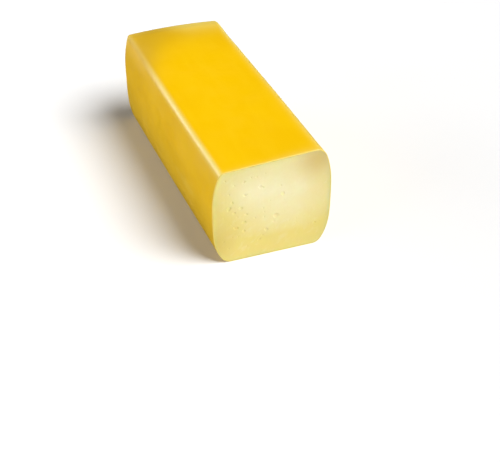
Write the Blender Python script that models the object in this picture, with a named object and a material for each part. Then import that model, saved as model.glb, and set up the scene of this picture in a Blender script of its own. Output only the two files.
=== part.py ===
"""A cut loaf of tilsit cheese: a barrel-sided block with a moulded end and one sliced face.

The loaf lies along Y on its flat base, with the sliced face towards -Y. The origin is the
middle of its box on the surface that it rests on. Sizes are in metres.
"""

import math
import random

import bmesh
import bpy
from mathutils import Matrix, Vector, noise

# The whole loaf
LENGTH = 0.257
HALF_WIDTH = 0.0525
HEIGHT = 0.0944

# Where a value has two numbers, the first is at the cut and the second at the moulded end.
# The mould kept the end narrower, lower and with sharper corners than the sagged front

# The section is a rounded box, drawn in above and below the level where it is fullest
BELLY_LEVEL = 0.58
TOP_PINCH = (0.151, 0.106)
TOP_POWER = 2.4
FOOT_PINCH = (0.21, 0.114)
FOOT_POWER = 4.1

# Corner radii of that box. Over the last share of the loaf the ridges sharpen to their ends
LEFT_RIDGE_RADIUS = (0.0036, 0.0080)
RIGHT_RIDGE_RADIUS = (0.0078, 0.0080)
END_CORNER_RADIUS = 0.0030
SHARPENS_FROM = 0.86
FOOT_RADIUS = 0.005

# The top twists a little, is crowned towards the end, and sinks there
CROWN = (0.0001, 0.0019)
TOP_TILT = (0.0025, -0.0009)
TOP_SINK = 0.0006

# The long sides bow out at mid length and draw in towards the end
SIDE_BOW = 0.0007
END_NARROWING = 0.0016

# The end's rounded edge, before which the top bends down into a gentle slope
END_EDGE_LENGTH = 0.0057
END_EDGE_DEPTH = 0.0025
DROOP = 0.0022
DROOP_LENGTH = 0.016
DROOP_BEND = 0.3

# The end bellies out like a pillow inside that edge
END_BELLY = 0.0016
END_CENTRE = Vector((0.0, LENGTH, HEIGHT / 2))
END_HALF_WIDTH = HALF_WIDTH - END_NARROWING - END_EDGE_DEPTH
END_HALF_HEIGHT = HEIGHT / 2 - END_EDGE_DEPTH

# The slicer left the face 2.1 degrees out of square and took a sliver off the rind's edge
CUT_SKEW = -0.037
CUT_EDGE_RADIUS = 0.0006

# The larger eyes in the sliced face: place across, height above the base, width
EYES = (
    (-0.0250, 0.0794, 0.0026),
    (-0.0103, 0.0709, 0.0042),
    (0.0071, 0.0687, 0.0024),
    (-0.0242, 0.0662, 0.0030),
    (-0.0354, 0.0609, 0.0027),
    (0.0090, 0.0602, 0.0035),
    (-0.0381, 0.0555, 0.0042),
    (-0.0277, 0.0539, 0.0034),
    (-0.0338, 0.0503, 0.0029),
    (-0.0234, 0.0467, 0.0026),
    (0.0031, 0.0390, 0.0050),
    (-0.0252, 0.0388, 0.0037),
    (-0.0323, 0.0344, 0.0040),
    (0.0010, 0.0338, 0.0027),
    (-0.0253, 0.0300, 0.0027),
    (-0.0057, 0.0264, 0.0034),
    (0.0380, 0.0227, 0.0026),
    (-0.0119, 0.0174, 0.0029),
)

# The knife smeared each eye into a shallow lumpy hollow with its long axis at a slant. It is
# the cap of a flattened ball: its depth is a share of its width, and EYE_CAP says how far the
# ball's middle stands before the face, as a share of the ball's own radius
EYE_DEPTH = 0.10
EYE_CAP = 0.6
EYE_LUMPS = 0.22
LUMPS_PER_RADIUS = 1.5
LUMP_SHIFT = 50
EYE_STRETCH = (1.0, 1.7)
EYE_SLANT = math.radians(40)

# Pinholes are scattered between the eyes, clear of them and of the rind, most of them low and left
PINHOLE_COUNT = 30
PINHOLE_WIDTHS = (0.0010, 0.0017)
PINHOLE_GAP = 0.0042
PINHOLE_MARGIN = 0.009
PINHOLE_LEAN = (1.15, 1.1)
SCATTER_SEED = 11

# Facets of the mesh
ARC_STEPS = 8
SIDE_STEPS = 14
LENGTH_STEPS = 15
SHARPENING_STEPS = 8
END_ARC_STEPS = 5
CUT_ARC_STEPS = 3
END_FACE_RINGS = 5

# Looks: colour, roughness and how far light gets under the surface
RIND_LOOK = ((0.93, 0.55, 0.015, 1.0), 0.33, 0.1)
PASTE_LOOK = ((0.93, 0.83, 0.5, 1.0), 0.5, 0.4)
GLOW_DEPTH = 0.003
PASTE_SLOT = 1
SMOOTH_BELOW = math.radians(40)


def mix(start, end, share):
    return start + (end - start) * share


def ridge_radius(radii, share):
    sharpened = max(0.0, (share - SHARPENS_FROM) / (1 - SHARPENS_FROM))
    return mix(mix(*radii, share), END_CORNER_RADIUS, sharpened**2)


def droop(y):
    """How far the top has sunk at y: a slope with a short bend at its start."""
    along = max(0.0, 1 - (LENGTH - y) / DROOP_LENGTH)
    if along < DROOP_BEND:
        bent = along**2 / (2 * DROOP_BEND)
    else:
        bent = along - DROOP_BEND / 2
    return DROOP * bent / (1 - DROOP_BEND / 2)


def rounded_box(share, inset):
    """Points (x, z) round the box, anticlockwise from the lower right corner."""
    corners = (
        (1, 0, FOOT_RADIUS),
        (1, 1, ridge_radius(RIGHT_RIDGE_RADIUS, share)),
        (-1, 1, ridge_radius(LEFT_RIDGE_RADIUS, share)),
        (-1, 0, FOOT_RADIUS),
    )
    arcs = []
    for index, (side, upper, radius) in enumerate(corners):
        radius = max(radius, inset)
        centre_x = side * (HALF_WIDTH - radius)
        centre_z = HEIGHT - radius if upper else radius
        start = math.radians(90 * (index - 1))
        arc = []
        for step in range(ARC_STEPS + 1):
            angle = start + math.pi / 2 * step / ARC_STEPS
            reach = radius - inset
            arc.append((centre_x + reach * math.cos(angle), centre_z + reach * math.sin(angle)))
        arcs.append(arc)
    points = []
    for arc, following in zip(arcs, arcs[1:] + arcs[:1]):
        points += arc
        (x0, z0), (x1, z1) = arc[-1], following[0]
        for step in range(1, SIDE_STEPS):
            along = (1 - math.cos(math.pi * step / SIDE_STEPS)) / 2
            points.append((mix(x0, x1, along), mix(z0, z1, along)))
    return points


def section(share, inset, drop):
    """The loaf's outline as (x, z), share 0 at the cut and 1 at the moulded end."""
    crown = mix(*CROWN, share)
    tilt = mix(*TOP_TILT, share)
    top_pinch = mix(*TOP_PINCH, share)
    foot_pinch = mix(*FOOT_PINCH, share)
    bow = 1 + (SIDE_BOW * 4 * share * (1 - share) - END_NARROWING * share) / HALF_WIDTH
    outline = []
    for x, z in rounded_box(share, inset):
        level = z / HEIGHT
        above = max(0.0, (level - BELLY_LEVEL) / (1 - BELLY_LEVEL))
        below = max(0.0, (BELLY_LEVEL - level) / BELLY_LEVEL)
        width = 1 - top_pinch * above**TOP_POWER - foot_pinch * below**FOOT_POWER
        across = x / HALF_WIDTH
        rise = crown * (1 - across**2) + tilt * across - TOP_SINK * share - drop
        outline.append((x * width * bow, z + level**2 * rise))
    return outline


def ring(y, share, inset=0.0):
    """One section set at its place along the loaf, leaning with the cut as far as it is near it."""
    outline = section(share, inset, droop(y))
    return [Vector((x, y + (1 - share) * CUT_SKEW * x, z)) for x, z in outline]


def loaf_rings():
    """Rings of points from the rim of the cut face to the innermost ring of the end face."""
    rings = []
    for step in range(CUT_ARC_STEPS):
        angle = math.pi / 2 * step / CUT_ARC_STEPS
        inset = CUT_EDGE_RADIUS * (1 - math.sin(angle))
        rings.append(ring(CUT_EDGE_RADIUS * (1 - math.cos(angle)), 0.0, inset))
    shares = [SHARPENS_FROM * step / LENGTH_STEPS for step in range(LENGTH_STEPS)]
    shares += [mix(SHARPENS_FROM, 1, step / SHARPENING_STEPS) for step in range(SHARPENING_STEPS + 1)]
    for share in shares:
        rings.append(ring(mix(CUT_EDGE_RADIUS, LENGTH - END_EDGE_LENGTH, share), share))
    for step in range(1, END_ARC_STEPS + 1):
        angle = math.pi / 2 * step / END_ARC_STEPS
        y = LENGTH - END_EDGE_LENGTH * (1 - math.sin(angle))
        rings.append(ring(y, 1.0, END_EDGE_DEPTH * (1 - math.cos(angle))))
    edge = rings[-1]
    for step in range(1, END_FACE_RINGS):
        reach = 1 - step / END_FACE_RINGS
        rings.append([on_end_face(END_CENTRE.lerp(point, reach)) for point in edge])
    return rings


def on_end_face(point):
    """A point of the flat end pushed out into its pillow shape, which fades to its edges."""
    across = point.x / END_HALF_WIDTH
    up = (point.z - END_CENTRE.z) / END_HALF_HEIGHT
    swell = max(0.0, 1 - across**2) * max(0.0, 1 - up**2)
    return point + Vector((0.0, END_BELLY * swell, 0.0))


def skin(rings):
    """A closed mesh: bands of quads between the rings, one flat face at the cut, a fan at the end."""
    mesh = bmesh.new()
    loops = [[mesh.verts.new(point) for point in points] for points in rings]
    for near, far in zip(loops, loops[1:]):
        for index in range(len(near)):
            following = (index + 1) % len(near)
            mesh.faces.new((near[index], near[following], far[following], far[index]))
    cut = mesh.faces.new(list(reversed(loops[0])))
    cut.material_index = PASTE_SLOT
    end = mesh.faces.new(loops[-1])
    poked = bmesh.ops.poke(mesh, faces=[end])
    poked["verts"][0].co = on_end_face(END_CENTRE)
    bmesh.ops.recalc_face_normals(mesh, faces=mesh.faces)
    return mesh


def pinholes(draw):
    """Places and widths of the pinholes, like those of the eyes."""
    taken = [(x, z) for x, z, _ in EYES]
    found = []
    while len(found) < PINHOLE_COUNT:
        left_share = draw.random() ** PINHOLE_LEAN[0]
        low_share = draw.random() ** PINHOLE_LEAN[1]
        x = mix(-1, 1, left_share) * (HALF_WIDTH - PINHOLE_MARGIN)
        z = mix(PINHOLE_MARGIN, HEIGHT - PINHOLE_MARGIN, low_share)
        if all(math.hypot(x - a, z - b) > PINHOLE_GAP for a, b in taken):
            taken.append((x, z))
            found.append((x, z, mix(*PINHOLE_WIDTHS, draw.random())))
    return found


def add_eye(mesh, draw, x, z, width, rounds):
    """One hollow of this width, the cap of a flat ball whose middle stands before the sliced face."""
    stretch = math.sqrt(mix(*EYE_STRETCH, draw.random() ** 2))
    reach = width / 2 / math.sqrt(1 - EYE_CAP**2)
    thick = width * EYE_DEPTH / (1 - EYE_CAP)
    radii = Vector((reach * stretch, thick, reach / stretch))
    slant = Matrix.Rotation(draw.uniform(-EYE_SLANT, EYE_SLANT), 4, "Y")
    place = Matrix.Translation((x, CUT_SKEW * x - EYE_CAP * thick, z))
    lumps = Vector([draw.uniform(0, LUMP_SHIFT) for _ in range(3)])
    ball = bmesh.ops.create_icosphere(mesh, subdivisions=rounds, radius=1.0)
    for vert in ball["verts"]:
        lump = 1 + EYE_LUMPS * noise.noise(vert.co * LUMPS_PER_RADIUS + lumps)
        vert.co = place @ slant @ (vert.co * lump * radii)


def new_material(name, colour, roughness, glow):
    material = bpy.data.materials.new(name)
    material.use_nodes = True
    material.diffuse_color = colour
    shader = material.node_tree.nodes["Principled BSDF"]
    shader.inputs["Base Color"].default_value = colour
    shader.inputs["Roughness"].default_value = roughness
    shader.inputs["Metallic"].default_value = 0.0
    shader.inputs["Subsurface Weight"].default_value = glow
    shader.inputs["Subsurface Scale"].default_value = GLOW_DEPTH
    return material


def new_object(name, mesh, collection, materials):
    data = bpy.data.meshes.new(name)
    mesh.to_mesh(data)
    mesh.free()
    for material in materials:
        data.materials.append(material)
    thing = bpy.data.objects.new(name, data)
    collection.objects.link(thing)
    return thing


def new_collection(name):
    collection = bpy.data.collections.new(name)
    bpy.context.scene.collection.children.link(collection)
    return collection


def build_loaf(collection, materials):
    loaf = new_object("tilsit_loaf", skin(loaf_rings()), collection, materials)
    loaf.data.shade_smooth()
    loaf.data.set_sharp_from_angle(angle=SMOOTH_BELOW)
    return loaf


def build_eye_cutter(collection, materials):
    """The eyes and pinholes as one hidden mesh, its faces in the paste's material."""
    draw = random.Random(SCATTER_SEED)
    small = pinholes(draw)
    mesh = bmesh.new()
    for x, z, width in EYES:
        add_eye(mesh, draw, x, z, width, rounds=3)
    for x, z, width in small:
        add_eye(mesh, draw, x, z, width, rounds=2)
    for face in mesh.faces:
        face.material_index = PASTE_SLOT
        face.smooth = True
    cutter = new_object("eyes", mesh, collection, materials)
    cutter.hide_render = True
    cutter.display_type = "WIRE"
    return cutter


def cut_eyes(loaf, cutter):
    hollow = loaf.modifiers.new("eyes", "BOOLEAN")
    hollow.operation = "DIFFERENCE"
    hollow.solver = "EXACT"
    hollow.object = cutter
    shading = loaf.modifiers.new("flat face shading", "WEIGHTED_NORMAL")
    shading.keep_sharp = True


def middle_on_origin(loaf, cutter):
    """Slides both along Y until the loaf's box is centred on the origin."""
    ends = [vert.co.y for vert in loaf.data.vertices]
    for thing in (loaf, cutter):
        thing.location.y = -(min(ends) + max(ends)) / 2


def main():
    for thing in list(bpy.data.objects):
        bpy.data.objects.remove(thing, do_unlink=True)
    cheese = new_collection("tilsit_cheese")
    cutters = new_collection("cutters")
    materials = (new_material("rind", *RIND_LOOK), new_material("paste", *PASTE_LOOK))
    loaf = build_loaf(cheese, materials)
    cutter = build_eye_cutter(cutters, materials)
    cut_eyes(loaf, cutter)
    middle_on_origin(loaf, cutter)


main()
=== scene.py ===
"""Looks of the cut tilsit loaf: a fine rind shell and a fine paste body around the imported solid."""

import math
import random
from collections import namedtuple

import bmesh
import bpy
import numpy as np
from mathutils import Matrix, Vector, noise


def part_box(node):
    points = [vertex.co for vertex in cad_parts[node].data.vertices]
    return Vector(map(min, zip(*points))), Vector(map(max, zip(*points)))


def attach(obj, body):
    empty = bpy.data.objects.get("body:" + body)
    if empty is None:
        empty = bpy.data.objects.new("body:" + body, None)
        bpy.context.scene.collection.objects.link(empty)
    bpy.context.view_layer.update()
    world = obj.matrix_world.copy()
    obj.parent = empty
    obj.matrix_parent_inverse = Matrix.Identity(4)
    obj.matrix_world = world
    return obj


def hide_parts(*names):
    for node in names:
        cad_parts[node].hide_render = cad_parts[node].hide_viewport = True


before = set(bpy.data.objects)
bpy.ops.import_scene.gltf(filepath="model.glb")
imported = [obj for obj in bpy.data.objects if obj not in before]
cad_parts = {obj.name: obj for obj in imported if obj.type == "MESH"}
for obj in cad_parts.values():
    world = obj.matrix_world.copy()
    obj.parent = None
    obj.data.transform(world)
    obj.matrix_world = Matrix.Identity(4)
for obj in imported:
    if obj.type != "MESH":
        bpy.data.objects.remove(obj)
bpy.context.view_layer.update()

# The loaf's form, in metres, as the solid has it. Pairs are for the cut and for the moulded end
NODE = "tilsit_loaf"
LENGTH = 0.257
HALF_WIDTH = 0.0525
HEIGHT = 0.0944
BELLY_LEVEL = 0.58
TOP_PINCH = (0.151, 0.106)
TOP_POWER = 2.4
FOOT_PINCH = (0.21, 0.114)
FOOT_POWER = 4.1
LEFT_RIDGE_RADIUS = (0.0036, 0.0080)
RIGHT_RIDGE_RADIUS = (0.0078, 0.0080)
END_CORNER_RADIUS = 0.0030
SHARPENS_FROM = 0.86
FOOT_RADIUS = 0.005
CROWN = (0.0001, 0.0019)
TOP_TILT = (0.0025, -0.0009)
TOP_SINK = 0.0006
SIDE_BOW = 0.0007
END_NARROWING = 0.0016
END_EDGE_LENGTH = 0.0057
END_EDGE_DEPTH = 0.0025
DROOP = 0.0022
DROOP_LENGTH = 0.016
DROOP_BEND = 0.3
END_BELLY = 0.0016
END_HALF_WIDTH = HALF_WIDTH - END_NARROWING - END_EDGE_DEPTH
END_HALF_HEIGHT = HEIGHT / 2 - END_EDGE_DEPTH
CUT_SKEW = -0.037

# Where the middle of the cut lies along Y
CUT_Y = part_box(NODE)[1].y - LENGTH - END_BELLY

# The rind is a shell round the paste, and the slicer took the sharpness off its edge
RIND_THICKNESS = 0.0010
RIM_RADIUS = 0.0004
PASTE_GAP = 0.00003

# The whole skin lies a hair inside the solid's, whose facets are coarser, and has shallow hollows
SKIN_INSET = 0.00002
HOLLOW_DEPTH = 0.0003
BROAD_HOLLOWS = 0.045
CLOSE_HOLLOWS = 0.013
CLOSE_SHARE = 0.25
CLOSE_SHIFT = Vector((7.0, 3.0, 1.0))
HOLLOWS_START = (0.002, 0.02)

# How finely the meshes are drawn: steps in a ring's corners and on its wide and tall sides
RIND_STEPS = (12, (80, 70))
PASTE_STEPS = (16, (110, 96))

# Steps along a body, round the edge of its moulded end, and rings across that end
OUTER_RINGS = (180, 10, 26)
INNER_RINGS = (16, 4, 6)
PASTE_RINGS = (14, 4, 6)
RIM_STEPS = 4
RIDGE_SAMPLES = 80
EYE_ROUNDS = 4
PINHOLE_ROUNDS = 3
SAME_PLACE_DECIMALS = 7
SHARP_ANGLE = math.radians(50)

# Where the middles of the two upper ridges come in a ring of the rind
CORNER_STEPS, (WIDE_STEPS, TALL_STEPS) = RIND_STEPS
RIGHT_RIDGE = CORNER_STEPS + TALL_STEPS + CORNER_STEPS // 2
LEFT_RIDGE = RIGHT_RIDGE + CORNER_STEPS + WIDE_STEPS

# The larger eyes in the sliced face: place across, height above the base, width
EYES = (
    (-0.0250, 0.0794, 0.0026),
    (-0.0103, 0.0709, 0.0042),
    (0.0071, 0.0687, 0.0024),
    (-0.0242, 0.0662, 0.0030),
    (-0.0354, 0.0609, 0.0027),
    (0.0090, 0.0602, 0.0035),
    (-0.0381, 0.0555, 0.0042),
    (-0.0277, 0.0539, 0.0034),
    (-0.0338, 0.0503, 0.0029),
    (-0.0234, 0.0467, 0.0026),
    (0.0031, 0.0390, 0.0050),
    (-0.0252, 0.0388, 0.0037),
    (-0.0323, 0.0344, 0.0040),
    (0.0010, 0.0338, 0.0027),
    (-0.0253, 0.0300, 0.0027),
    (-0.0057, 0.0264, 0.0034),
    (0.0380, 0.0227, 0.0026),
    (-0.0119, 0.0174, 0.0029),
)
EYE_DEPTH = 0.10
EYE_CAP = 0.6
EYE_LUMPS = 0.22
EYE_LUMP_RATE = 1.5
EYE_STRETCH = (1.0, 1.7)
EYE_SLANT = math.radians(40)
LUMP_FIELD = 50
PINHOLE_COUNT = 30
PINHOLE_WIDTHS = (0.0010, 0.0017)
PINHOLE_GAP = 0.0042
PINHOLE_MARGIN = 0.009
PINHOLE_LEAN = (1.15, 1.1)
SCATTER_SEED = 11

# Colours of the rind
RIND_YELLOW = (0.91, 0.540, 0.0005)
RIND_DEEP = (0.86, 0.49, 0.0005)
RIND_PALE = (0.92, 0.57, 0.004)
# Painted shade towards the foot
RIND_FOOT_SHADE = (0.78, 0.50, 0.032)
# Painted shade
RIND_OCHRE_SHADE = (0.60, 0.36, 0.014)
# Paler yellow, for scuffs on the sides and for the painted highlight along the left ridge
RIND_WEAR_AND_HIGHLIGHT = (0.95, 0.74, 0.18)
# Painted sheen
RIND_SHEEN = (0.89, 0.69, 0.15)
RIM_CREAM = (0.84, 0.65, 0.15)

# Colours of the paste
PASTE_PALE = (0.88, 0.82, 0.52)
PASTE_WARM = (0.84, 0.74, 0.38)
PASTE_DEEP = (0.78, 0.65, 0.21)
PASTE_FLECK = (0.93, 0.89, 0.66)
PASTE_DARK_CORNER = (0.70, 0.54, 0.20)
# Painted shade at the face's lower left
PASTE_LOW_SHADE = (0.70, 0.55, 0.15)
# Painted highlight along the face's edge
PASTE_EDGE_HIGHLIGHT = (0.93, 0.80, 0.22)

# A noise: size of its blobs, detail and roughness, the values where it starts and is full, what
# these become, and how many times longer it is along each of the turned axes
Texture = namedtuple(
    "Texture",
    "size detail roughness ends to times turn",
    defaults=(0.5, (0.0, 1.0), (0.0, 1.0), (1.0, 1.0, 1.0), (0.0, 0.0, 0.0)),
)
MOTTLE = Texture(size=0.06, detail=3.0, ends=(0.35, 0.65), to=(0.0, 0.40))
STREAKS = Texture(
    size=0.010, detail=3.0, roughness=0.55, ends=(0.35, 0.70), to=(0.0, 0.35), times=(1.0, 4.5, 1.0)
)
SCUFFS = Texture(size=0.008, detail=2.0, ends=(0.56, 0.70), times=(1.0, 10.0, 1.0))
SHEEN = Texture(size=0.02, detail=4.0, roughness=0.6, ends=(0.3, 0.7), to=(0.29, 0.39))
WAVES = Texture(size=0.012, detail=3.0)
WAVE_DEPTH = 0.00005
PORES = Texture(size=0.0016, detail=2.0)
PORE_DEPTH = 0.000005
CLOUD = Texture(size=0.03, detail=3.0, ends=(0.35, 0.70), to=(0.0, 0.30))
PATCHES = Texture(size=0.010, detail=2.0, ends=(0.38, 0.62), to=(0.0, 0.16))
CURD = Texture(size=0.0025, detail=4.0, roughness=0.65, ends=(0.35, 0.70), to=(0.0, 0.15))
SMEARS = Texture(
    size=0.0036,
    detail=1.5,
    ends=(0.50, 0.80),
    to=(0.0, 0.13),
    times=(2.0, 1.0, 1.0),
    turn=(0.0, math.radians(-42), 0.0),
)
MOISTURE = Texture(size=0.006, detail=4.0, roughness=0.6, ends=(0.3, 0.7), to=(0.38, 0.55))
GRAIN = Texture(size=0.0011, detail=4.0, roughness=0.6)
GRAIN_DEPTH = 0.00003
KNIFE_LINES = Texture(size=0.0022, detail=2.0, times=(1.0, 1.0, 16.0))
KNIFE_DEPTH = 0.00005
PASTE_SHINE = 0.4
PASTE_GLOW = 0.75
GLOW_REACH = 0.005
GLOW_RADIUS = (1.0, 0.7, 0.25)

# Tones painted on the rind and the paste. Names in ACROSS, HEIGHTS, DEPTHS and STRETCH hold the two
# values between which a tone changes, and stretches are shares of the length, from the cut

# Painted highlight along the left ridge, whose reach below the ridge is for the front and for the back
HIGHLIGHT_AT_CUT = 1.0
HIGHLIGHT_MIDWAY = 0.78
HIGHLIGHT_AT_END = 0.24
FRONT_STRETCH = (0.10, 0.30)
BACK_STRETCH = (0.56, 0.80)
HIGHLIGHT_REACH_BELOW = (0.0040, 0.0026)
HIGHLIGHT_REACH_ABOVE = 0.0016
DULLING = 0.26
DULL_REACH = 0.012

# Painted sheen on the moulded end's upper edge, from left to right, and along the right ridge
END_SHEEN = (0.25, 0.8)
END_SHEEN_REACH = (0.008, 0.0176)
END_SHEEN_ACROSS = (-0.02, 0.015)
RIGHT_SHEEN = (0.6, 0.9)
RIGHT_SHEEN_REACH = 0.0045
RIGHT_SHEEN_STRETCH = (0.5, 0.8)

# Painted shade, in ochre, on the top towards the moulded end: it reaches further and is deeper to the
# left
OCHRE_REACH = 0.028
OCHRE_REACH_TO_LEFT = 26.0
OCHRE_FADE = 0.011
OCHRE_DEPTH = (0.95, 0.55)
OCHRE_BY_RIDGE = (0.6, 1.0)
LEFT_RIDGE_ACROSS = (-0.050, -0.038)
ACROSS_TOP = (-0.010, 0.030)
OCHRE_HEIGHTS = (0.085, 0.092)

# Painted shade, in ochre, on the left side, high at the back and low in front
LEFT_SIDE_ACROSS = (-0.050, -0.044)
FLANK_OCHRE = 0.28
FLANK_STRETCH = (0.62, 0.92)
FLANK_HEIGHTS = (0.055, 0.080)
TOE_OCHRE = 0.45
TOE_STRETCH = (0.05, 0.45)
TOE_HEIGHTS = (0.015, 0.060)

# Painted shade towards the foot, and the height up to which the sides are scuffed
FOOT_HEIGHTS = (-0.01, 0.075)
SCUFFED = 0.12
SCUFFED_HEIGHTS = (0.045, 0.070)

# The rind's sliced edge, and the paleness that runs out from it over the sides and the top
SLICED_DEPTHS = (0.0001, 0.0006)
RIM_PALENESS = (0.2, 0.6)
RIM_TOP_HEIGHTS = (0.084, 0.091)
RIM_REACH = (0.0016, 0.0031)

# Deeper tone of the paste by the rind, with painted shade low down, to the left and in the eyes. The
# first pair of shares is for the face's lower and its upper part
UPPER_HEIGHTS = (0.060, 0.090)
DEEP_BY_RIND = (0.7, 0.45)
DEEP_DEPTHS = (-0.004, 0.036)
LOW_RIGHT_EASING = 0.4
LOW_RIGHT_ACROSS = (0.020, 0.045)
LOW_RIGHT_HEIGHTS = (0.045, 0.062)
# Painted shade low down, to the left and in the eyes
DEEP_LOW = 0.85
DEEP_LOW_HEIGHTS = (0.0, 0.070)
DEEP_LEFT = 0.25
DEEP_LEFT_ACROSS = (-0.055, 0.0)
DEEP_IN_EYE = 0.08
EYE_DEPTHS = (0.00002, 0.00015)

# Spots on the sliced face: middle across and up, reach across and up
PITTED_SPOT = (-0.026, 0.042, 0.018, 0.016)
PITTED_DEEP = 0.2
UPPER_RIGHT_SPOT = (0.033, 0.074, 0.014, 0.010)
UPPER_RIGHT_DEEP = 0.12
# Darker upper right corner of the face
DARK_CORNER_SPOT = (0.041, 0.089, 0.030, 0.030)
# Painted shade at the face's lower left
LOW_SHADE_SPOT = (-0.052, 0.022, 0.026, 0.030)
PALE_SPOT = (-0.015, 0.071, 0.030, 0.020)
PALE_SHARE = 0.5

# The painted highlight along the face's edge, for its lower and upper part. It leaves out the darker
# upper right corner
EDGE_LINE = (0.25, 0.6)
EDGE_REACH = (0.0020, 0.0029)
LEFT_LINE = 0.8
LEFT_LINE_ACROSS = (-0.047, -0.039)
LEFT_LINE_HEIGHTS = (0.015, 0.045)
EDGE_LEAVES_DARK_CORNER = (0.35, 0.80)

# The floor
FLOOR_SIZE = 8.0
FLOOR_GREYS = ((0.87, 0.87, 0.87), (0.89, 0.89, 0.89))
FLOOR_CLOUD = Texture(size=0.5, detail=2.0)
FLOOR_ROUGHNESS = 0.9
FLOOR_SHINE = 0.1

# The studio's brightness below and above its horizon, and the heights between which it changes
GROUND_TO_SKY = (1.0, 0.56)
HORIZON = (-0.15, 0.0)

# Parts of the studio kept dark: towards them, cosines where the dark starts and is full, share left
DARK_LOBES = (
    ((0.268, 0.741, 0.616), (0.86, 0.94), 0.035),
    ((-0.29, 0.735, -0.613), (0.80, 0.93), 0.08),
)

# The lights: for the panels name, place, target, size, watts
KEY_PLACE = (0.42, -0.42, 0.80)
KEY_STRENGTH = 4.1
KEY_SPREAD = math.radians(40)
PANELS = (
    ("ridge strip", (-1.18, 1.10, 0.42), (-0.05, 0.0, 0.09), (0.9, 0.44), 8.0),
    ("left fill", (-1.15, -0.15, 0.34), (-0.05, 0.0, 0.05), (1.0, 0.6), 4.5),
)

# The camera, from the photograph: a lens of 1100 pixels on a picture 500 wide
PICTURE_WIDTH = 500
LENS_PIXELS = 1100
SENSOR_MM = 36.0
CAMERA_PLACE = Vector((-0.28844, CUT_Y - 0.67625, 0.59087))
CAMERA_YAW = 0.37765
CAMERA_PITCH = 0.65772
CAMERA_ROLL = -0.0028


def mix(start, end, share):
    return start + (end - start) * share


def rising(ends, value):
    """0 up to the first of two values, 1 from the second on, and a smooth step between them."""
    low, high = ends
    share = np.clip((value - low) / (high - low), 0.0, 1.0)
    return share * share * (3 - 2 * share)


def falling(ends, value):
    return 1 - rising(ends, value)


def hump(distance, width=1.0):
    return np.exp(-((distance / width) ** 2))


# The loaf's form


def ridge_radius(radii, share):
    sharpened = max(0.0, (share - SHARPENS_FROM) / (1 - SHARPENS_FROM))
    return mix(mix(*radii, share), END_CORNER_RADIUS, sharpened**2)


def droop(y):
    """How far the top has sunk at y: a slope with a short bend at its start."""
    along = max(0.0, 1 - (LENGTH - y) / DROOP_LENGTH)
    if along < DROOP_BEND:
        bent = along**2 / (2 * DROOP_BEND)
    else:
        bent = along - DROOP_BEND / 2
    return DROOP * bent / (1 - DROOP_BEND / 2)


def rounded_box(share, inset, arc_steps, side_steps):
    """Points (x, z) round the box, anticlockwise from the lower right corner, as an array."""
    corners = (
        (1, 0, FOOT_RADIUS, side_steps[1]),
        (1, 1, ridge_radius(RIGHT_RIDGE_RADIUS, share), side_steps[0]),
        (-1, 1, ridge_radius(LEFT_RIDGE_RADIUS, share), side_steps[1]),
        (-1, 0, FOOT_RADIUS, side_steps[0]),
    )
    arcs = []
    for index, (side, upper, radius, _) in enumerate(corners):
        radius = max(radius, inset)
        centre = np.array((side * (HALF_WIDTH - radius), HEIGHT - radius if upper else radius))
        angles = math.pi / 2 * (index - 1 + np.linspace(0, 1, arc_steps + 1))
        arcs.append(centre + (radius - inset) * np.column_stack((np.cos(angles), np.sin(angles))))
    points = []
    for index, arc in enumerate(arcs):
        following = arcs[(index + 1) % len(arcs)]
        along = np.linspace(0, 1, corners[index][3] + 1)[1:-1, None]
        points += [arc, arc[-1] + (following[0] - arc[-1]) * along]
    return np.vstack(points)


def section(share, inset, drop, arc_steps, side_steps):
    """The loaf's outline as an array of (x, z), share 0 at the cut and 1 at the moulded end."""
    box = rounded_box(share, inset, arc_steps, side_steps)
    x, z = box[:, 0], box[:, 1]
    level = z / HEIGHT
    above = np.clip((level - BELLY_LEVEL) / (1 - BELLY_LEVEL), 0, None)
    below = np.clip((BELLY_LEVEL - level) / BELLY_LEVEL, 0, None)
    pinch = mix(*TOP_PINCH, share) * above**TOP_POWER + mix(*FOOT_PINCH, share) * below**FOOT_POWER
    width = 1 - pinch
    bow = 1 + (SIDE_BOW * 4 * share * (1 - share) - END_NARROWING * share) / HALF_WIDTH
    across = x / HALF_WIDTH
    rise = mix(*CROWN, share) * (1 - across**2) + mix(*TOP_TILT, share) * across
    rise = rise - TOP_SINK * share - drop
    return np.column_stack((x * width * bow, z + level**2 * rise))


def ring(y, share, inset, arc_steps, side_steps):
    """One section set at its place along the loaf, leaning with the cut as far as it is near it."""
    outline = section(share, inset, droop(y), arc_steps, side_steps)
    x, z = outline[:, 0], outline[:, 1]
    return np.column_stack((x, CUT_Y + y + (1 - share) * CUT_SKEW * x, z))


def on_end_face(points):
    """Points of the moulded end, swelling into a pillow."""
    across = points[:, 0] / END_HALF_WIDTH
    up = (points[:, 2] - HEIGHT / 2) / END_HALF_HEIGHT
    swell = np.clip(1 - across**2, 0, None) * np.clip(1 - up**2, 0, None)
    moved = points.copy()
    moved[:, 1] += END_BELLY * swell
    return moved


def end_face_rings(edge, count):
    """Rings from the edge of the moulded end to near its middle, and the middle."""
    centre = np.array((0.0, edge[:, 1].mean(), HEIGHT / 2))
    reaches = np.linspace(1, 0, count + 1)[1:-1]
    rings = [on_end_face(centre + (edge - centre) * reach) for reach in reaches]
    return rings, on_end_face(centre[None])[0]


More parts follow.
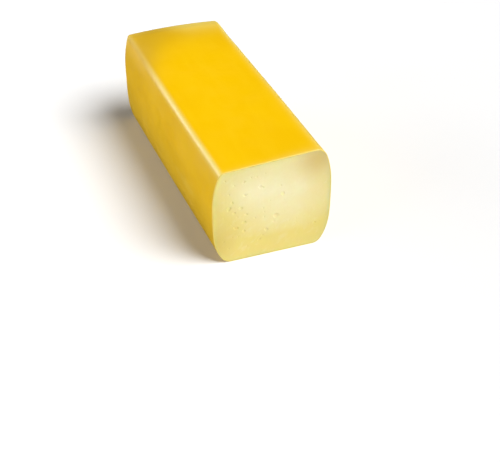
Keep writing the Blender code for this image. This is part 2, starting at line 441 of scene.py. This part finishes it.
def body_rings(inset, counts, steps, first=0.0):
    """Rings of a loaf drawn in by inset, from y = first to the end face, and the end's middle."""
    length_steps, end_steps, face_rings = counts
    end_y = LENGTH - inset
    edge = END_EDGE_LENGTH - inset
    depth = END_EDGE_DEPTH - inset
    rings = []
    for share in np.linspace(0, 1, length_steps + 1):
        rings.append(ring(mix(first, end_y - edge, share), share, inset, *steps))
    for angle in np.linspace(0, math.pi / 2, end_steps + 1)[1:]:
        y = end_y - edge * (1 - math.sin(angle))
        rings.append(ring(y, 1.0, inset + depth * (1 - math.cos(angle)), *steps))
    inner, middle = end_face_rings(rings[-1], face_rings)
    return rings + inner, middle


# Meshes


class Shell:
    """Gathers points and faces of one mesh, ring by ring."""

    def __init__(self):
        self.points = []
        self.faces = []

    def add(self, points):
        start = len(self.points)
        self.points += [tuple(point) for point in points]
        return list(range(start, start + len(points)))

    def band(self, near, far):
        for index, corner in enumerate(near):
            following = (index + 1) % len(near)
            self.faces.append((corner, near[following], far[following], far[index]))

    def bands(self, rings):
        """Skins a run of rings and returns the first and the last of them."""
        loops = [self.add(points) for points in rings]
        for near, far in zip(loops, loops[1:]):
            self.band(near, far)
        return loops[0], loops[-1]

    def fan(self, loop, tip):
        (centre,) = self.add([tip])
        for index, corner in enumerate(loop):
            self.faces.append((corner, loop[(index + 1) % len(loop)], centre))

    def mesh(self, name):
        data = bpy.data.meshes.new(name)
        data.from_pydata(self.points, [], self.faces)
        data.validate()
        turned = bmesh.new()
        turned.from_mesh(data)
        bmesh.ops.recalc_face_normals(turned, faces=turned.faces)
        turned.to_mesh(data)
        turned.free()
        return data


def new_object(name, data, material):
    data.materials.append(material)
    thing = bpy.data.objects.new(name, data)
    bpy.context.scene.collection.objects.link(thing)
    return thing


def vertex_places(data):
    places = np.empty(len(data.vertices) * 3)
    data.vertices.foreach_get("co", places)
    return places.reshape(-1, 3)


def behind_cut(places):
    """How far points lie behind the sliced face, along the loaf."""
    return places[:, 1] - CUT_Y - CUT_SKEW * places[:, 0]


def shade(data):
    data.shade_smooth()
    data.set_sharp_from_angle(angle=SHARP_ANGLE)


def rind_mesh():
    """The rind: its rim, outer skin and moulded end, and the inner wall that the paste fills."""
    shell = Shell()
    rim = []
    for angle in np.linspace(0, math.pi / 2, RIM_STEPS + 1)[:-1]:
        inset = RIM_RADIUS * (1 - math.sin(angle))
        rim.append(ring(RIM_RADIUS * (1 - math.cos(angle)), 0.0, inset, *RIND_STEPS))
    outer, tip = body_rings(0.0, OUTER_RINGS, RIND_STEPS, first=RIM_RADIUS)
    lip, last = shell.bands(rim + outer)
    shell.fan(last, tip)
    inner, inner_tip = body_rings(RIND_THICKNESS, INNER_RINGS, RIND_STEPS)
    mouth, floor = shell.bands(inner)
    shell.fan(floor, inner_tip)
    shell.band(mouth, lip)
    return shell.mesh("loaf_rind")


def hollow_at(place):
    """Depth of the hollows at a place, from 0 to 1."""
    spot = Vector(place)
    broad = noise.noise(spot / BROAD_HOLLOWS)
    close = noise.noise(spot / CLOSE_HOLLOWS + CLOSE_SHIFT)
    return min(max((1 + mix(broad, close, CLOSE_SHARE)) / 2, 0.0), 1.0)


def soften_rind(data):
    """Shallow hollows pressed into the skin. They only go inwards, and fade out at the cut."""
    places = vertex_places(data)
    normals = np.empty(places.size)
    data.vertex_normals.foreach_get("vector", normals)
    hollows = np.array([hollow_at(place) for place in places]) * rising(HOLLOWS_START, behind_cut(places))
    places -= normals.reshape(-1, 3) * (SKIN_INSET + HOLLOW_DEPTH * hollows)[:, None]
    data.vertices.foreach_set("co", places.ravel())


def face_grid(loop):
    """Rows of points filling the sliced face, blended from the four stretches of its outline."""
    arc, (wide, tall) = PASTE_STEPS
    # The loop starts with the lower right arc, whose middle is the grid's lower right corner
    corner_ends = np.cumsum((arc // 2, arc + tall, arc + wide, arc + tall))
    right = loop[corner_ends[0]:corner_ends[1] + 1]
    top = loop[corner_ends[1]:corner_ends[2] + 1][::-1]
    left = loop[corner_ends[2]:corner_ends[3] + 1][::-1]
    bottom = np.vstack((loop[corner_ends[3]:], loop[:corner_ends[0] + 1]))
    across = np.linspace(0, 1, len(bottom))[None, :, None]
    up = np.linspace(0, 1, len(left))[:, None, None]
    sides = left[:, None] * (1 - across) + right[:, None] * across
    ends = bottom[None] * (1 - up) + top[None] * up
    corners = (
        bottom[0] * (1 - across) * (1 - up)
        + bottom[-1] * across * (1 - up)
        + top[0] * (1 - across) * up
        + top[-1] * across * up
    )
    return sides + ends - corners


def place_key(point):
    return tuple(np.round(point, SAME_PLACE_DECIMALS))


def paste_mesh():
    """The paste: a closed body whose sliced face is fine enough for its eyes."""
    shell = Shell()
    rings, tip = body_rings(RIND_THICKNESS + PASTE_GAP, PASTE_RINGS, PASTE_STEPS)
    mouth, last = shell.bands(rings)
    shell.fan(last, tip)
    known = {place_key(point): corner for point, corner in zip(rings[0], mouth)}
    table = []
    for line in face_grid(rings[0]):
        row = []
        for point in line:
            corner = known.get(place_key(point))
            if corner is None:
                (corner,) = shell.add([point])
            row.append(corner)
        table.append(row)
    for low, high in zip(table, table[1:]):
        for column in range(len(low) - 1):
            shell.faces.append((low[column], low[column + 1], high[column + 1], high[column]))
    return shell.mesh("loaf_paste")


# Eyes in the sliced face


def pinholes(draw):
    """Places and widths of the pinholes, like those of the eyes."""
    taken = [(x, z) for x, z, _ in EYES]
    found = []
    while len(found) < PINHOLE_COUNT:
        left_share = draw.random() ** PINHOLE_LEAN[0]
        low_share = draw.random() ** PINHOLE_LEAN[1]
        x = mix(-1, 1, left_share) * (HALF_WIDTH - PINHOLE_MARGIN)
        z = mix(PINHOLE_MARGIN, HEIGHT - PINHOLE_MARGIN, low_share)
        if all(math.hypot(x - a, z - b) > PINHOLE_GAP for a, b in taken):
            taken.append((x, z))
            found.append((x, z, mix(*PINHOLE_WIDTHS, draw.random())))
    return found


def add_eye(mesh, draw, x, z, width, rounds):
    """One hollow of this width, the cap of a flat ball whose middle stands before the sliced face."""
    stretch = math.sqrt(mix(*EYE_STRETCH, draw.random() ** 2))
    reach = width / 2 / math.sqrt(1 - EYE_CAP**2)
    thick = width * EYE_DEPTH / (1 - EYE_CAP)
    radii = Vector((reach * stretch, thick, reach / stretch))
    slant = Matrix.Rotation(draw.uniform(-EYE_SLANT, EYE_SLANT), 4, "Y")
    place = Matrix.Translation((x, CUT_Y + CUT_SKEW * x - EYE_CAP * thick, z))
    lumps = Vector([draw.uniform(0, LUMP_FIELD) for _ in range(3)])
    ball = bmesh.ops.create_icosphere(mesh, subdivisions=rounds, radius=1.0)
    for vert in ball["verts"]:
        lump = 1 + EYE_LUMPS * noise.noise(vert.co * EYE_LUMP_RATE + lumps)
        vert.co = place @ slant @ (vert.co * lump * radii)


def cut_eyes(paste):
    """Eyes and pinholes where the solid has them, cut and applied."""
    draw = random.Random(SCATTER_SEED)
    small = pinholes(draw)
    mesh = bmesh.new()
    for x, z, width in EYES:
        add_eye(mesh, draw, x, z, width, EYE_ROUNDS)
    for x, z, width in small:
        add_eye(mesh, draw, x, z, width, PINHOLE_ROUNDS)
    data = bpy.data.meshes.new("eyes")
    mesh.to_mesh(data)
    mesh.free()
    cutter = bpy.data.objects.new("eyes", data)
    bpy.context.scene.collection.objects.link(cutter)
    hollow = paste.modifiers.new("eyes", "BOOLEAN")
    hollow.operation = "DIFFERENCE"
    hollow.solver = "EXACT"
    hollow.object = cutter
    bpy.context.view_layer.update()
    graph = bpy.context.evaluated_depsgraph_get()
    cut = bpy.data.meshes.new_from_object(paste.evaluated_get(graph), depsgraph=graph)
    paste.modifiers.clear()
    old = paste.data
    paste.data = cut
    bpy.data.meshes.remove(old)
    bpy.data.objects.remove(cutter, do_unlink=True)
    bpy.data.meshes.remove(data)


# Tones painted on the vertices, for the materials to read by name


def paint(data, tones):
    for name, values in tones.items():
        layer = data.attributes.new(name, "FLOAT", "POINT")
        layer.data.foreach_set("value", np.asarray(values, np.float32))


def ridge_line(index):
    """Places along a ridge, given where its middle comes in the ring."""
    reach = LENGTH - END_EDGE_LENGTH
    shares = np.linspace(0, 1, RIDGE_SAMPLES)
    return np.array([ring(share * reach, share, 0.0, *RIND_STEPS)[index] for share in shares])


def end_edge_line():
    """Places along the upper edge of the moulded end, from ridge to ridge."""
    edge = ring(LENGTH - END_EDGE_LENGTH / 2, 1.0, END_EDGE_DEPTH / 4, *RIND_STEPS)
    return edge[RIGHT_RIDGE:LEFT_RIDGE + 1]


def gaps_from(line, places, axis):
    """How far points lie from a line, along each of the two axes that it doesn't follow."""
    others = [number for number in range(3) if number != axis]
    line = line[np.argsort(line[:, axis])]
    return [places[:, n] - np.interp(places[:, axis], line[:, axis], line[:, n]) for n in others]


def left_ridge_highlight(places, along):
    """The painted highlight along the left ridge, and how dull the skin is beside its back stretch."""
    across, up = gaps_from(ridge_line(LEFT_RIDGE), places, axis=1)
    distance = np.hypot(across, up)
    back = rising(BACK_STRETCH, along)
    highlight_share = mix(mix(HIGHLIGHT_MIDWAY, HIGHLIGHT_AT_CUT, falling(FRONT_STRETCH, along)), HIGHLIGHT_AT_END, back)
    reach = np.where(across + up < 0, mix(*HIGHLIGHT_REACH_BELOW, back), HIGHLIGHT_REACH_ABOVE)
    return highlight_share * hump(distance, reach), DULLING * back * hump(distance, DULL_REACH)


def painted_sheen(places, along):
    """The painted sheen along the moulded end's upper edge and the right ridge."""
    by_end = np.hypot(*gaps_from(end_edge_line(), places, axis=0))
    by_right = np.hypot(*gaps_from(ridge_line(RIGHT_RIDGE), places, axis=1))
    to_right = rising(END_SHEEN_ACROSS, places[:, 0])
    on_end = mix(*END_SHEEN, to_right) * hump(by_end, mix(*END_SHEEN_REACH, to_right))
    on_right = mix(*RIGHT_SHEEN, rising(RIGHT_SHEEN_STRETCH, along)) * hump(by_right, RIGHT_SHEEN_REACH)
    return np.maximum(on_end, on_right)


def ochre_shade(x, z, from_cut):
    """Painted shade, in ochre, on the top towards its far end and on two parts of the left side."""
    reach = OCHRE_REACH + OCHRE_REACH_TO_LEFT * np.minimum(x, 0) ** 2
    share = 1 / (1 + np.exp((LENGTH - from_cut - reach) / OCHRE_FADE))
    depth = mix(*OCHRE_DEPTH, rising(ACROSS_TOP, x)) * mix(*OCHRE_BY_RIDGE, rising(LEFT_RIDGE_ACROSS, x))
    on_top = depth * share * rising(OCHRE_HEIGHTS, z)
    along = from_cut / LENGTH
    flank = FLANK_OCHRE * rising(FLANK_STRETCH, along) * rising(FLANK_HEIGHTS, z)
    toe = TOE_OCHRE * falling(TOE_STRETCH, along) * falling(TOE_HEIGHTS, z)
    return np.maximum(on_top, falling(LEFT_SIDE_ACROSS, x) * (flank + toe))


def pale_rim(x, z, from_cut):
    """The sliced edge of the rind, and how its paleness runs out behind it."""
    sliced = falling(SLICED_DEPTHS, from_cut)
    paleness = mix(*RIM_PALENESS, rising(RIM_TOP_HEIGHTS, z))
    reach = mix(*RIM_REACH, rising(ACROSS_TOP, x))
    return np.maximum(sliced, paleness * np.exp(-from_cut / reach))


def rind_tones(places):
    """Shares of the rind's further colours, painted shade, highlight and sheen among them, and how much
    duller it is, at each vertex.
    """
    x, z = places[:, 0], places[:, 2]
    from_cut = behind_cut(places)
    along = from_cut / LENGTH
    ridge_highlight, dull = left_ridge_highlight(places, along)
    return {
        # Painted shade towards the foot
        "foot_shade": falling(FOOT_HEIGHTS, z),
        "scuffed": SCUFFED * falling(SCUFFED_HEIGHTS, z),
        # Painted shade on the top's far end and on the left side
        "ochre_shade": ochre_shade(x, z, from_cut),
        # Painted highlight along the left ridge
        "ridge_highlight": ridge_highlight,
        # Painted sheen along the moulded end's upper edge and the right ridge
        "edge_sheen": painted_sheen(places, along),
        "dull": dull,
        "rim": pale_rim(x, z, from_cut),
    }


def edge_distance(places):
    """Distance of points in the sliced face from its outline."""
    nearest = np.full(len(places), np.inf)
    for x, z in section(0.0, 0.0, 0.0, *PASTE_STEPS):
        nearest = np.minimum(nearest, (places[:, 0] - x) ** 2 + (places[:, 2] - z) ** 2)
    return np.sqrt(nearest)


def from_spot(places, spot):
    """Distance from the middle of a spot, 1 at its reach."""
    x, z, wide, tall = spot
    return np.hypot((places[:, 0] - x) / wide, (places[:, 2] - z) / tall)


def filled_spot(places, spot):
    """Full in the middle of a spot, gone at its reach."""
    return falling((0.0, 1.0), from_spot(places, spot))


def deep_paste(places, from_edge, upper):
    """The deeper tone towards the rind and in two spots, with painted shade low down, to the left and in
    the eyes.
    """
    x, z = places[:, 0], places[:, 2]
    paste_deepening = mix(*DEEP_BY_RIND, upper) * falling(DEEP_DEPTHS, from_edge)
    paste_deepening *= 1 - LOW_RIGHT_EASING * rising(LOW_RIGHT_ACROSS, x) * falling(LOW_RIGHT_HEIGHTS, z)
    # Painted shade low down and to the left
    low = DEEP_LOW * falling(DEEP_LOW_HEIGHTS, z)
    left = DEEP_LEFT * falling(DEEP_LEFT_ACROSS, x)
    pitted = PITTED_DEEP * hump(from_spot(places, PITTED_SPOT))
    upper_right = UPPER_RIGHT_DEEP * hump(from_spot(places, UPPER_RIGHT_SPOT))
    # Painted shade in the eyes
    in_eye = DEEP_IN_EYE * rising(EYE_DEPTHS, behind_cut(places))
    return np.clip(paste_deepening + low + left + pitted + upper_right + in_eye, 0, 1)


def edge_highlight(places, from_edge, upper):
    """The painted highlight along the edge of the face."""
    left = LEFT_LINE * falling(LEFT_LINE_ACROSS, places[:, 0]) * rising(LEFT_LINE_HEIGHTS, places[:, 2])
    line = np.maximum(mix(*EDGE_LINE, upper), left) * hump(from_edge, mix(*EDGE_REACH, upper))
    return line * rising(EDGE_LEAVES_DARK_CORNER, from_spot(places, DARK_CORNER_SPOT))


def paste_tones(places):
    """Shares of the paste's further colours at each vertex, painted shade and a painted highlight among
    them.
    """
    from_edge = edge_distance(places)
    upper = rising(UPPER_HEIGHTS, places[:, 2])
    return {
        # Deeper paste by the rind, with painted shade low down, to the left and in the eyes
        "paste_deepening": deep_paste(places, from_edge, upper),
        "dark_corner": filled_spot(places, DARK_CORNER_SPOT),
        # Painted shade at the face's lower left
        "low": filled_spot(places, LOW_SHADE_SPOT),
        "pale": PALE_SHARE * filled_spot(places, PALE_SPOT),
        # Painted highlight along the face's edge
        "edge": edge_highlight(places, from_edge, upper),
    }


# Materials


class Nodes:
    """Short calls for building the node tree of a material or a world."""

    def __init__(self, owner, shader):
        owner.use_nodes = True
        self.tree = owner.node_tree
        self.shader = self.tree.nodes[shader]
        self.coordinates = self.add("ShaderNodeTexCoord").outputs

    def add(self, kind):
        return self.tree.nodes.new(kind)

    def feed(self, socket, value):
        """Links a socket to another node's output, or gives it a fixed value."""
        if isinstance(value, bpy.types.NodeSocket):
            self.tree.links.new(value, socket)
        else:
            socket.default_value = value

    def noise(self, texture):
        mapping = self.add("ShaderNodeMapping")
        mapping.vector_type = "TEXTURE"
        self.feed(mapping.inputs["Vector"], self.coordinates["Object"])
        self.feed(mapping.inputs["Scale"], texture.times)
        self.feed(mapping.inputs["Rotation"], texture.turn)
        node = self.add("ShaderNodeTexNoise")
        self.feed(node.inputs["Vector"], mapping.outputs["Vector"])
        self.feed(node.inputs["Scale"], 1.0 / texture.size)
        self.feed(node.inputs["Detail"], texture.detail)
        self.feed(node.inputs["Roughness"], texture.roughness)
        return node.outputs["Fac"]

    def marks(self, texture):
        """The noise, spread between the ends that its texture names."""
        return self.span(self.noise(texture), texture.ends, texture.to)

    def span(self, value, ends, to):
        node = self.add("ShaderNodeMapRange")
        node.interpolation_type = "SMOOTHSTEP"
        names = ("Value", "From Min", "From Max", "To Min", "To Max")
        for name, fed in zip(names, (value, *ends, *to)):
            self.feed(node.inputs[name], fed)
        return node.outputs["Result"]

    def math(self, operation, first, second):
        node = self.add("ShaderNodeMath")
        node.operation = operation
        self.feed(node.inputs[0], first)
        self.feed(node.inputs[1], second)
        return node.outputs["Value"]

    def towards(self, direction):
        """Cosine of the angle between where a ray goes and a direction."""
        node = self.add("ShaderNodeVectorMath")
        node.operation = "DOT_PRODUCT"
        self.feed(node.inputs[0], self.coordinates["Generated"])
        self.feed(node.inputs[1], direction)
        return node.outputs["Value"]

    def colours(self, share, first, second):
        node = self.add("ShaderNodeMix")
        node.data_type = "RGBA"
        self.feed(node.inputs["Factor"], share)
        for name, value in (("A", first), ("B", second)):
            socket = next(s for s in node.inputs if s.name == name and s.type == "RGBA")
            self.feed(socket, (*value, 1.0) if isinstance(value, tuple) else value)
        return next(s for s in node.outputs if s.type == "RGBA")

    def attribute(self, name):
        node = self.add("ShaderNodeAttribute")
        node.attribute_name = name
        return node.outputs["Fac"]

    def bump(self, texture, depth, normal=None):
        """A bump whose height runs over depth metres, on top of another where one is given."""
        node = self.add("ShaderNodeBump")
        self.feed(node.inputs["Strength"], 1.0)
        self.feed(node.inputs["Distance"], depth)
        self.feed(node.inputs["Height"], self.noise(texture))
        if normal is not None:
            self.feed(node.inputs["Normal"], normal)
        return node.outputs["Normal"]

    def set(self, name, value):
        self.feed(self.shader.inputs[name], value)


def new_material(name):
    material = bpy.data.materials.new(name)
    return material, Nodes(material, "Principled BSDF")


def rind_material():
    """Smooth waxy yellow, a little mottled, streaked and scuffed, paler where its edges are cut, with a
    painted highlight and painted sheen along its ridges and painted shade towards the foot, on the left
    side and on the top's far end.
    """
    material, m = new_material("rind")
    colour = m.colours(m.marks(MOTTLE), RIND_YELLOW, RIND_DEEP)
    colour = m.colours(m.marks(STREAKS), colour, RIND_PALE)
    # Painted shade towards the foot
    colour = m.colours(m.attribute("foot_shade"), colour, RIND_FOOT_SHADE)
    scuffs = m.math("MULTIPLY", m.marks(SCUFFS), m.attribute("scuffed"))
    colour = m.colours(scuffs, colour, RIND_WEAR_AND_HIGHLIGHT)
    # Painted shade on the top's far end and on the left side
    colour = m.colours(m.attribute("ochre_shade"), colour, RIND_OCHRE_SHADE)
    # Painted highlight along the left ridge
    colour = m.colours(m.attribute("ridge_highlight"), colour, RIND_WEAR_AND_HIGHLIGHT)
    # Painted sheen along the moulded end's upper edge and the right ridge
    colour = m.colours(m.attribute("edge_sheen"), colour, RIND_SHEEN)
    colour = m.colours(m.attribute("rim"), colour, RIM_CREAM)
    m.set("Base Color", colour)
    m.set("Roughness", m.math("ADD", m.marks(SHEEN), m.attribute("dull")))
    m.set("Normal", m.bump(PORES, PORE_DEPTH, m.bump(WAVES, WAVE_DEPTH)))
    return material


def paste_material():
    """Moist pale cheese, deeper towards the rind, with painted shade low down, to the left and in the
    eyes, a painted highlight along the face's edge, a fine curd grain and faint knife lines.
    """
    material, m = new_material("paste")
    colour = m.colours(m.marks(CLOUD), PASTE_PALE, PASTE_WARM)
    colour = m.colours(m.marks(PATCHES), colour, PASTE_WARM)
    colour = m.colours(m.marks(CURD), colour, PASTE_WARM)
    colour = m.colours(m.attribute("pale"), colour, PASTE_FLECK)
    # Deeper paste by the rind, with painted shade low down, to the left and in the eyes
    colour = m.colours(m.attribute("paste_deepening"), colour, PASTE_DEEP)
    colour = m.colours(m.marks(SMEARS), colour, PASTE_FLECK)
    colour = m.colours(m.attribute("dark_corner"), colour, PASTE_DARK_CORNER)
    # Painted shade at the face's lower left
    colour = m.colours(m.attribute("low"), colour, PASTE_LOW_SHADE)
    # Painted highlight along the face's edge
    colour = m.colours(m.attribute("edge"), colour, PASTE_EDGE_HIGHLIGHT)
    m.set("Base Color", colour)
    m.set("Roughness", m.marks(MOISTURE))
    m.set("Specular IOR Level", PASTE_SHINE)
    m.set("Subsurface Weight", PASTE_GLOW)
    m.set("Subsurface Radius", GLOW_RADIUS)
    m.set("Subsurface Scale", GLOW_REACH)
    m.set("Normal", m.bump(KNIFE_LINES, KNIFE_DEPTH, m.bump(GRAIN, GRAIN_DEPTH)))
    return material


# The pieces of the loaf


def build_rind():
    data = rind_mesh()
    soften_rind(data)
    paint(data, rind_tones(vertex_places(data)))
    shade(data)
    rind = new_object("loaf_rind", data, rind_material())
    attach(rind, "root")
    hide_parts(NODE)


def build_paste():
    paste = new_object("loaf_paste", paste_mesh(), paste_material())
    cut_eyes(paste)
    paint(paste.data, paste_tones(vertex_places(paste.data)))
    shade(paste.data)
    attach(paste, "root")
    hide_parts(NODE)


# Stage


def build_floor():
    material, m = new_material("pale floor")
    m.set("Base Color", m.colours(m.noise(FLOOR_CLOUD), *FLOOR_GREYS))
    m.set("Roughness", FLOOR_ROUGHNESS)
    m.set("Specular IOR Level", FLOOR_SHINE)
    mesh = bmesh.new()
    bmesh.ops.create_grid(mesh, x_segments=1, y_segments=1, size=FLOOR_SIZE)
    data = bpy.data.meshes.new("floor")
    mesh.to_mesh(data)
    mesh.free()
    floor = new_object("floor", data, material)
    # The floor lights the loaf, but what shines in its sides is the studio's lower half
    floor.visible_glossy = False


def build_world():
    """A pale studio, brighter below, and dark where the top and the left side would mirror it."""
    world = bpy.data.worlds.new("studio")
    bpy.context.scene.world = world
    m = Nodes(world, "Background")
    height = m.add("ShaderNodeSeparateXYZ")
    m.feed(height.inputs["Vector"], m.coordinates["Generated"])
    light = m.span(height.outputs["Z"], HORIZON, GROUND_TO_SKY)
    for direction, cosines, left in DARK_LOBES:
        light = m.math("MULTIPLY", light, m.span(m.towards(direction), cosines, (1.0, left)))
    m.set("Strength", light)


def add_light(light, place, target):
    lamp = bpy.data.objects.new(light.name, light)
    lamp.location = place
    lamp.rotation_euler = (Vector(target) - lamp.location).to_track_quat("-Z", "Y").to_euler()
    bpy.context.scene.collection.objects.link(lamp)


def build_lights():
    key = bpy.data.lights.new("key", "SUN")
    key.energy = KEY_STRENGTH
    key.angle = KEY_SPREAD
    add_light(key, KEY_PLACE, (0.0, 0.0, 0.0))
    for name, place, target, size, watts in PANELS:
        panel = bpy.data.lights.new(name, "AREA")
        panel.shape = "RECTANGLE"
        panel.size, panel.size_y = size
        panel.energy = watts
        add_light(panel, place, target)


def build_camera():
    data = bpy.data.cameras.new("camera")
    data.sensor_width = SENSOR_MM
    data.lens = LENS_PIXELS / PICTURE_WIDTH * SENSOR_MM
    camera = bpy.data.objects.new("camera", data)
    turn = Matrix.Rotation(-CAMERA_YAW, 4, "Z") @ Matrix.Rotation(math.pi / 2 - CAMERA_PITCH, 4, "X")
    turn = turn @ Matrix.Rotation(CAMERA_ROLL, 4, "Z")
    camera.matrix_world = Matrix.Translation(CAMERA_PLACE) @ turn
    bpy.context.scene.collection.objects.link(camera)
    bpy.context.scene.camera = camera


build_camera()
build_rind()
build_paste()
build_floor()
build_world()
build_lights()
bpy.context.scene.view_settings.view_transform = "Standard"
bpy.context.view_layer.update()
